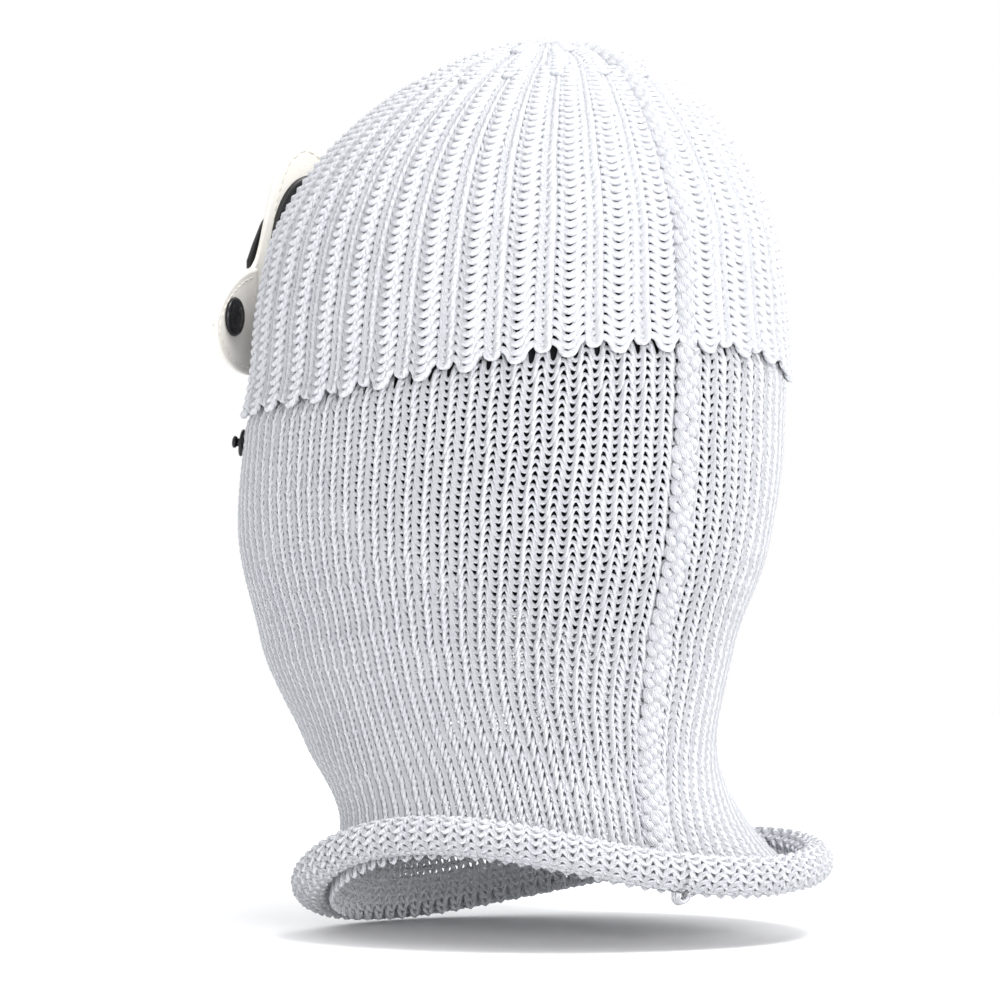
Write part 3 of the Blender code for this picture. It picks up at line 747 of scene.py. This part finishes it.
def tab_edges(share):
    """Lower and upper edge of a tab at a share of its length, from its fold to its blunt tip."""
    high = float(top_edge(PANEL_HALF + WING_LENGTH))
    half = (high - LOW_EDGE) / 2 * np.maximum(1 - np.clip(share, 0, 1) ** 2.0, 0.0) ** 0.6
    middle = (high + LOW_EDGE) / 2 - TAB_DROP * np.clip(share, 0, 1)
    return middle - half, middle + half


def bend_table():
    """Leather laid flat against its bent course: reach, position across, position forward, heading."""
    reach = np.linspace(0.0, PANEL_HALF + WING_LENGTH + TAB_LENGTH, 1801)
    first, second = WING_ANGLE, WING_ANGLE - TAB_ANGLE
    share_a = np.clip((reach - PANEL_HALF + FOLD) / (2 * FOLD), 0, 1)
    share_b = np.clip((reach - PANEL_HALF - WING_LENGTH + FOLD) / (2 * FOLD), 0, 1)
    heading = first * share_a - second * share_b
    speed = np.ones_like(reach)
    for share, turn in ((share_a, first), (share_b, second)):
        speed = np.where((share > 0) & (share < 1), turn / 2 / math.tan(turn / 2), speed)
    step = np.diff(reach)
    middle = (heading[1:] + heading[:-1]) / 2
    pace = (speed[1:] + speed[:-1]) / 2 * step
    across = np.concatenate([[0.0], np.cumsum(np.cos(middle) * pace)])
    forward = np.concatenate([[0.0], -np.cumsum(np.sin(middle) * pace)])
    return reach, across, forward, heading


BEND = bend_table()


def bent(flat, side):
    """Flat leather coordinates (across, up, out of the leather) to their place on the raised visor."""
    flat = np.atleast_2d(flat)
    x, z, heading = (np.interp(flat[:, 0], BEND[0], values) for values in BEND[1:])
    x, z = x + flat[:, 2] * np.sin(heading), z + flat[:, 2] * np.cos(heading)
    return moved(np.stack([side * x, flat[:, 1], z], axis=1), FRAME)


def placed(u, w, side):
    """Matrix at a point of the bent leather: local Z out of it, towards the front."""
    at = bent([[u, w, 0.0]], side)[0]
    out = unit(bent([[u, w, 0.001]], side)[0] - at)
    up = unit(bent([[u, w + 0.001, 0.0]], side)[0] - at)
    return facing(at, np.cross(up, out), up, out)


def tidied(thing, merge=None):
    """The object with its normals outwards, and its points merged within a distance if one is given."""
    bm = bmesh.new()
    bm.from_mesh(thing.data)
    if merge:
        bmesh.ops.remove_doubles(bm, verts=bm.verts, dist=merge)
        bmesh.ops.dissolve_degenerate(bm, edges=bm.edges, dist=merge)
    bmesh.ops.recalc_face_normals(bm, faces=bm.faces)
    bm.to_mesh(thing.data)
    bm.free()
    return thing


def rectangle(left, right, low, high, count):
    """Points round a rectangle, as many on each side."""
    corners = np.array([(left, low), (right, low), (right, high), (left, high), (left, low)])
    at = np.linspace(0, 4, count)
    return np.column_stack([np.interp(at, range(5), corners[:, k]) for k in (0, 1)])


def slab(name, columns, low, high, edges, half, place):
    """A sheet with rounded edges. Columns run from `low` to `high`; `edges` lists the rounded borders."""
    count = 44
    share = 0.5 - 0.5 * np.cos(np.linspace(0, math.pi, count + 1))
    u = np.repeat(columns, count + 1)
    w = (low[:, None] + (high - low)[:, None] * share[None]).ravel()
    border = np.concatenate([np.linspace(edge[:-1], edge[1:], 6).transpose(1, 0, 2).reshape(-1, 2)
                             for edge in edges])
    gap = np.min(np.hypot(u[:, None] - border[None, :, 0], w[:, None] - border[None, :, 1]), axis=1)
    gap = np.where(gap < 0.00004, 0.0, gap)
    lift = half * np.sqrt(1 - (1 - np.clip(gap / half, 0, 1)) ** 2)
    size, stride = len(u), count + 1
    verts = np.concatenate([np.stack([u, w, lift], axis=1), np.stack([u, w, -lift], axis=1)])
    a = (np.arange(len(columns) - 1)[:, None] * stride + np.arange(count)[None]).ravel()
    quads = np.stack([a, a + stride, a + stride + 1, a + 1], axis=1)
    faces = [tuple(q) for q in quads] + [tuple(q[::-1] + size) for q in quads]
    last = (len(columns) - 1) * stride
    rim = (list(range(0, last + 1, stride)) + list(range(last + 1, last + stride))
           + list(range(last - stride + count, -1, -stride)) + list(range(count - 1, 0, -1)))
    for p, q in zip(rim, rim[1:] + rim[:1]):
        faces.append((q, p, p + size, q + size))
    return tidied(make_object(name, place(verts), faces), 0.000004)


def oval(half_width, half_height, side=1, steps=72):
    """A softly squared oval, its lower end swung outwards."""
    turn = np.arange(steps) * TAU / steps
    c, s = np.cos(turn), np.sin(turn)
    x = half_width * np.sign(c) * np.abs(c) ** 0.88
    y = half_height * np.sign(s) * np.abs(s) ** 0.88
    lean = side * LENS_TILT
    c, s = math.cos(lean), math.sin(lean)
    return np.stack([x * c - y * s, x * s + y * c], axis=1)


def raised(ring, height):
    """A flat ring of points at a height."""
    return np.column_stack([ring, np.full(len(ring), height)])


def stacked(name, rings, closed, placing):
    """A body from equal rings of local points; open stacks are capped, closed ones come back round."""
    steps = len(rings[0])
    verts = np.concatenate([np.asarray(ring) for ring in rings])
    faces = []
    for k in range(len(rings) if closed else len(rings) - 1):
        a, b = k * steps, (k + 1) % len(rings) * steps
        faces += [(a + m, a + (m + 1) % steps, b + (m + 1) % steps, b + m) for m in range(steps)]
    if not closed:
        faces += [tuple(range(steps))[::-1], tuple(range(len(verts) - steps, len(verts)))]
    return tidied(make_object(name, moved(verts, placing), faces))


def lathe(name, profile, closed, placing, steps=64):
    """A round body from (radius, height) points about local Z."""
    turn = np.arange(steps) * TAU / steps
    rings = [raised(np.stack([r * np.cos(turn), r * np.sin(turn)], axis=1), z) for r, z in profile]
    return stacked(name, rings, closed, placing)


def finished(thing, material, body, nodes):
    """Material and body of a finished piece, and the CAD nodes it stands for."""
    thing.data.materials.clear()
    thing.data.materials.append(material)
    if body:
        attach(thing, body)
    if nodes:
        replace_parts(thing, *nodes)


def cut_hole(thing):
    """Cut the lens hole through flat leather."""
    ring = oval(LENS_HALF_WIDTH + RIM_WIDTH * 0.6, LENS_HALF_HEIGHT + RIM_WIDTH * 0.6) + [LENS_X, LENS_W]
    cutter = stacked("lens_cutter", [raised(ring, z) for z in (-0.01, 0.01)], False, Matrix.Identity(4))
    cut = thing.modifiers.new("hole", "BOOLEAN")
    cut.object, cut.operation, cut.solver = cutter, "DIFFERENCE", "EXACT"
    graph = bpy.context.evaluated_depsgraph_get()
    mesh = bpy.data.meshes.new_from_object(thing.evaluated_get(graph))
    thing.modifiers.clear()
    thing.data = mesh
    bpy.data.objects.remove(cutter)


def leather_half(side, name, leather):
    """One half of the visor's front with its wing, from the nose seam to the middle of the wing."""
    columns = np.unique(np.concatenate([np.linspace(0.00006, PANEL_HALF - FOLD, 56),
                                        np.linspace(PANEL_HALF - FOLD, SPLIT, 26)]))
    high, low = top_edge(columns), np.full(len(columns), LOW_EDGE)
    edges = [np.column_stack([columns, high]), np.column_stack([columns, low])]
    thing = slab("visor_half_" + name, columns, low, high, edges, LEATHER / 2, np.asarray)
    cut_hole(thing)
    points = np.array([v.co for v in thing.data.vertices])
    thing.data.vertices.foreach_set("co", bent(points, side).astype(np.float32).ravel())
    if side < 0:
        thing.data.flip_normals()
    thing.data.shade_smooth()
    thing.data.update()
    nodes = ["wing_" + name] + (["visor_panel"] if side > 0 else [])
    finished(thing, leather, None, nodes)
    ends = bent([[PANEL_HALF - FOLD, 0.02, 0], [PANEL_HALF + FOLD, 0.02, 0]], side)
    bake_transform(thing)


def leather_tab(side, name, leather):
    """The rest of the wing and the rounded tab at its end."""
    start = PANEL_HALF + WING_LENGTH
    columns = np.concatenate([np.linspace(SPLIT, start, 16),
                              start + TAB_LENGTH * np.sin(np.linspace(0, math.pi / 2, 52))[1:]])
    low, high = tab_edges((columns - start) / TAB_LENGTH)
    high = np.where(columns < start, top_edge(columns), high)
    border = np.concatenate([np.column_stack([columns, high]), np.column_stack([columns, low])[::-1]])
    thing = slab("visor_tab_" + name, columns, low, high, [border], LEATHER / 2, lambda v: bent(v, side))
    if side < 0:
        thing.data.flip_normals()
    finished(thing, leather, None, ["tab_" + name])
    ends = bent([[start - FOLD, 0.02, 0], [start + FOLD, 0.02, 0]], side)
    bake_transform(thing)


def stitch_row(batch, line, side):
    """Short stitches along a line of the leather, on both faces."""
    line = np.asarray(line)
    reach = walked(line)
    for begin in np.arange(0.0006, reach[-1] - 0.0026, STITCH_PITCH):
        at = np.linspace(begin, begin + STITCH_LENGTH, 6)
        flat = np.column_stack([np.interp(at, reach, line[:, k]) for k in (0, 1)])
        for face in (1, -1):
            path = bent(np.column_stack([flat, face * (LEATHER / 2 + STITCH_ARCH - 0.00012)]), side)
            out = bent(raised(flat, face * 0.01), side) - path
            batch.add(path, unit(out), THREAD, False)


def inset(line, gap):
    """A line moved sideways, to its left."""
    way = np.gradient(np.asarray(line), axis=0)
    way /= np.hypot(way[:, 0], way[:, 1])[:, None]
    return line + gap * np.column_stack([-way[:, 1], way[:, 0]])


def leather_stitches(side, name, thread):
    """Seam stitches near the panel's upper edge and round the tab."""
    batch = Yarns()
    u = np.linspace(0.003, PANEL_HALF - FOLD - 0.001, 80)
    stitch_row(batch, inset(np.column_stack([u, top_edge(u)]), -0.0028), side)
    stitch_row(batch, [(0.0032, LOW_EDGE + 0.002), (0.0032, float(top_edge(0.0)) - 0.004)], side)
    batch.build("panel_stitches_" + name, thread, "visor", "ivory_leather")
    batch = Yarns()
    start = PANEL_HALF + WING_LENGTH
    share = np.concatenate([np.linspace(0.16, 0.9, 200), np.linspace(0.9, 1.0, 120)[1:]])
    low, high = tab_edges(share)
    over = np.column_stack([start + TAB_LENGTH * share, high])
    under = np.column_stack([start + TAB_LENGTH * share, low])[::-1]
    outline = np.concatenate([over, under[1:]])
    reach = walked(outline)
    dense = np.linspace(0, reach[-1], 300)
    outline = np.column_stack([np.interp(dense, reach, outline[:, k]) for k in (0, 1)])
    stitch_row(batch, inset(outline, -0.0024), side)
    batch.build("tab_stitches_" + name, thread, "tab_" + name, "ivory_leather")


def lens_pieces(side, name, smoke, plastic):
    """A shallow dished lens, the frame that clips it into the leather, and the shield beside it."""
    middle = placed(LENS_X, LENS_W, side)
    half_width, half_height = LENS_HALF_WIDTH - LENS_CLEARANCE, LENS_HALF_HEIGHT - LENS_CLEARANCE
    shares = np.arange(1, 19) / 18
    front, back = LENS_FRONT, LENS_FRONT - LENS_THICKNESS
    rings = []
    for share, level in [(k, front) for k in shares] + [(k, back) for k in shares[::-1]]:
        ring = oval(half_width * share, half_height * share, side)
        rings.append(raised(ring, level - LENS_DISH * (1 - share ** 2.4)))
    pane = stacked("lens_pane_" + name, rings, False, middle)
    finished(pane, smoke, "visor", ["lens_" + name])
    columns = np.linspace(SHIELD[0, 0], SHIELD[-1, 0], 24)
    high, low = (np.interp(columns, SHIELD[:, 0], SHIELD[:, k]) for k in (1, 2))
    border = np.concatenate([np.column_stack([columns, high]), np.column_stack([columns, low])[::-1],
                             [(columns[0], high[0])]])

    def before_leather(v):
        return moved(np.column_stack([side * v[:, 0], v[:, 1], v[:, 2] + SHIELD_AHEAD]), FRAME)

    shield = slab("lens_shield_" + name, columns, low, high, [border], SHIELD_HALF, before_leather)
    finished(shield, plastic, "visor", [])
    rings = [raised(oval(LENS_HALF_WIDTH + grow, LENS_HALF_HEIGHT + grow, side), rise)
             for grow, rise in RIM_SECTION]
    rim = stacked("lens_frame_" + name, rings, True, middle)
    finished(rim, plastic, "visor", ["lens_rim_" + name])


def metal_rounds(rounds, name, at, metal, body):
    """Turned metal pieces at one place: each one's name, CAD node, profile, and whether it is a ring."""
    for piece, node, profile, closed in rounds:
        finished(lathe(piece + name, profile, closed, at), metal, body, [node + name])


def snap_pieces(side, name, metal):
    """Snap on a tab: domed cap on one face, socket ring on the other."""
    at = placed(PANEL_HALF + WING_LENGTH + SNAP_REACH, SNAP_W, side)
    face = LEATHER / 2 + 0.0001
    cap = [(radius, -(face + height)) for radius, height in SNAP_CAP]
    socket = [(radius, face + height) for radius, height in SNAP_SOCKET]
    metal_rounds((("snap_dome_", "snap_cap_", cap, False), ("snap_ring_", "snap_socket_", socket, True)),
                 name, at, metal, "tab_" + name)


def stud_pieces(side, name, metal):
    """Stud on the mask: waisted post, flat ring under it and washer behind the knit."""
    climb = float(climb_at(HINGE.z - SNAP_W))
    low, high = (Vector(corner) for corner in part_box("stud_" + name))
    middle = (low + high) / 2
    angle = math.atan2(middle.y, middle.x)
    tries = np.linspace(angle - 0.4, angle + 0.4, 801)
    spots = surface(tries, np.full(801, climb))
    best = int(np.argmin(np.abs(spots[:, 0] - side * STUD_X) + (spots[:, 1] > 0)))
    out = normal(tries[best:best + 1], np.array([climb]))[0]
    across = unit(np.cross([0.0, 0.0, 1.0], out))
    at = facing(spots[best], across, np.cross(out, across), out)
    metal_rounds((("stud_post_", "stud_", STUD_POST, False), ("stud_collar_", "stud_ring_", STUD_COLLAR, True),
                  ("stud_washer_", "stud_back_", STUD_WASHER, False)), name, at, metal, "mask")


def fold_pieces(leather, thread):
    """Piped fold along the brow, the nose strip and the stitched tab that carries the visor."""
    batch = Yarns()
    x = np.linspace(-HINGE_HALF, HINGE_HALF, 60)
    path = np.array([FRAME @ Vector((k, 0.0, 0.0)) for k in x])
    taper = np.clip((HINGE_HALF + 0.0002 - np.abs(x)) / 0.0012, 0, 1) ** 0.5
    swell = HINGE_RADIUS * (1 + 0.025 * np.sin(x * 2100)) * taper
    batch.add(path, np.tile([0.0, -1.0, 0.0], (60, 1)), np.maximum(swell, 0.0004), False)
    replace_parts(batch.build("piped_fold", leather, "visor", "ivory_leather"), "hinge_piping")
    top = float(top_edge(0.0)) - 0.002
    columns = np.linspace(-STRIP_HALF, STRIP_HALF, 14)
    border = [rectangle(-STRIP_HALF, STRIP_HALF, LOW_EDGE, top, 200)]
    for name, face, start, nodes in (("nose_strip_inside", -1, 0.0, ["nose_bridge_strip"]),
                                     ("nose_strip_outside", 1, STRIP_START, [])):
        shift = Matrix.Translation((0, 0, face * (LEATHER / 2 + STRIP_THICK_HALF)))

        def place(v, shift=shift):
            return moved(v, FRAME @ shift)

        strip = slab(name, columns, np.full(14, LOW_EDGE + start), np.full(14, top), border,
                     STRIP_THICK_HALF, place)
        finished(strip, leather, "visor", nodes)
    brow_low = HINGE.z - HINGE_RADIUS - 0.001 - BROW_HEIGHT
    border = [rectangle(-HINGE_HALF, HINGE_HALF, 0.0, BROW_HEIGHT, 600)]

    def on_brow(v):
        z = brow_low + v[:, 1]
        return np.column_stack([v[:, 0], front_y(v[:, 0], z) - 0.0017 - v[:, 2], z])

    tab = slab("brow_leather", x, np.zeros(60), np.full(60, BROW_HEIGHT), border, BROW_HALF, on_brow)
    finished(tab, leather, "mask", ["brow_tab"])
    batch = Yarns()
    for level in (0.0022, 0.0098):
        for begin in np.arange(-HINGE_HALF + 0.002, HINGE_HALF - 0.004, STITCH_PITCH):
            at = np.linspace(begin, begin + STITCH_LENGTH, 6)
            path = on_brow(np.column_stack([at, np.full(6, level), STITCH_ARCH + 0.0007]))
            batch.add(path, np.tile([0.0, -1.0, 0.0], (6, 1)), THREAD, False)
    batch.build("brow_stitches", thread, "mask", "ivory_leather")


def main_visor():
    """Everything of leather, plastic and metal."""
    leather = leather_material("ivory_visor_leather", (0.74, 0.715, 0.66), (0.84, 0.82, 0.775))
    thread = leather_material("ivory_thread", (0.62, 0.59, 0.52), (0.72, 0.69, 0.62))
    smoke = dark_material("smoked_lens_gloss", (0.012, 0.012, 0.014), 0.06, 0.0, 30.0, Coat_Weight=0.6)
    plastic = dark_material("black_rim_plastic", (0.014, 0.014, 0.015), 0.34, 0.0, 300.0)
    metal = dark_material("black_snap_metal", (0.035, 0.035, 0.038), 0.26, 0.85, 500.0)
    fold_pieces(leather, thread)
    for side, name in ((1, "left"), (-1, "right")):
        leather_half(side, name, leather)
        leather_tab(side, name, leather)
        leather_stitches(side, name, thread)
        lens_pieces(side, name, smoke, plastic)
        snap_pieces(side, name, metal)
        stud_pieces(side, name, metal)


# Stage --------------------

FLOOR_RADIUS = 1.5
CAMERA_DISTANCE, VIEW_WIDTH, SENSOR = 1.5, 0.3125, 36.0
LIGHTS = (                  # name, place (toward the camera, to its right, up), size, watts, colour
    ("key", (1.6, 0.45, 0.25), 0.5, 15.0, (1.0, 0.985, 0.97)),
    ("top", (0.5, 0.5, 1.5), 0.6, 22.0, (1.0, 1.0, 1.0)),
    ("front", (-1.5, 0.5, 0.6), 0.7, 9.0, (1.0, 1.0, 1.0)))


def set_stage():
    """Pale floor, white surroundings, soft lights and the camera."""
    bm = bmesh.new()
    bmesh.ops.create_circle(bm, cap_ends=True, segments=96, radius=FLOOR_RADIUS)
    mesh = bpy.data.meshes.new("floor")
    bm.to_mesh(mesh)
    bm.free()
    floor = linked("floor", mesh)
    floor.location = (0.0, 0.0, CAD_BOX[0][2] - 0.0006)
    mesh.materials.append(principled("pale_floor", (0.96, 0.962, 0.968), 0.9)[0])
    bpy.context.scene.view_settings.view_transform = "Standard"
    world = bpy.data.worlds.new("studio")
    bpy.context.scene.world = world
    world.use_nodes = True
    back = world.node_tree.nodes["Background"]
    back.inputs["Color"].default_value = (1.0, 1.0, 1.0, 1.0)
    back.inputs["Strength"].default_value = 1.0
    toward, right, up = Vector((0.5, 0.866, 0.0)), Vector((-0.866, 0.5, 0.0)), Vector((0, 0, 1))
    for name, (ahead, beside, above), size, power, tint in LIGHTS:
        data = bpy.data.lights.new(name, "AREA")
        data.size, data.energy, data.color = size, power, tint
        place = toward * ahead + right * beside + up * above
        lamp = linked(name, data)
        lamp.location = Vector((0.0, 0.0, 0.14)) + place
        lamp.rotation_euler = (-place).to_track_quat("-Z", "Y").to_euler()
    data = bpy.data.cameras.new("camera")
    data.sensor_width, data.lens = SENSOR, SENSOR * CAMERA_DISTANCE / VIEW_WIDTH
    camera = linked("camera", data)
    camera.location = toward * CAMERA_DISTANCE + right * -0.00375 + up * 0.1346
    camera.rotation_euler = toward.to_track_quat("Z", "Y").to_euler()
    bpy.context.scene.camera = camera


set_stage()
yarn = yarn_material()
main_knit(yarn)
shade_liner_piece(shade_liner_material())
main_visor()
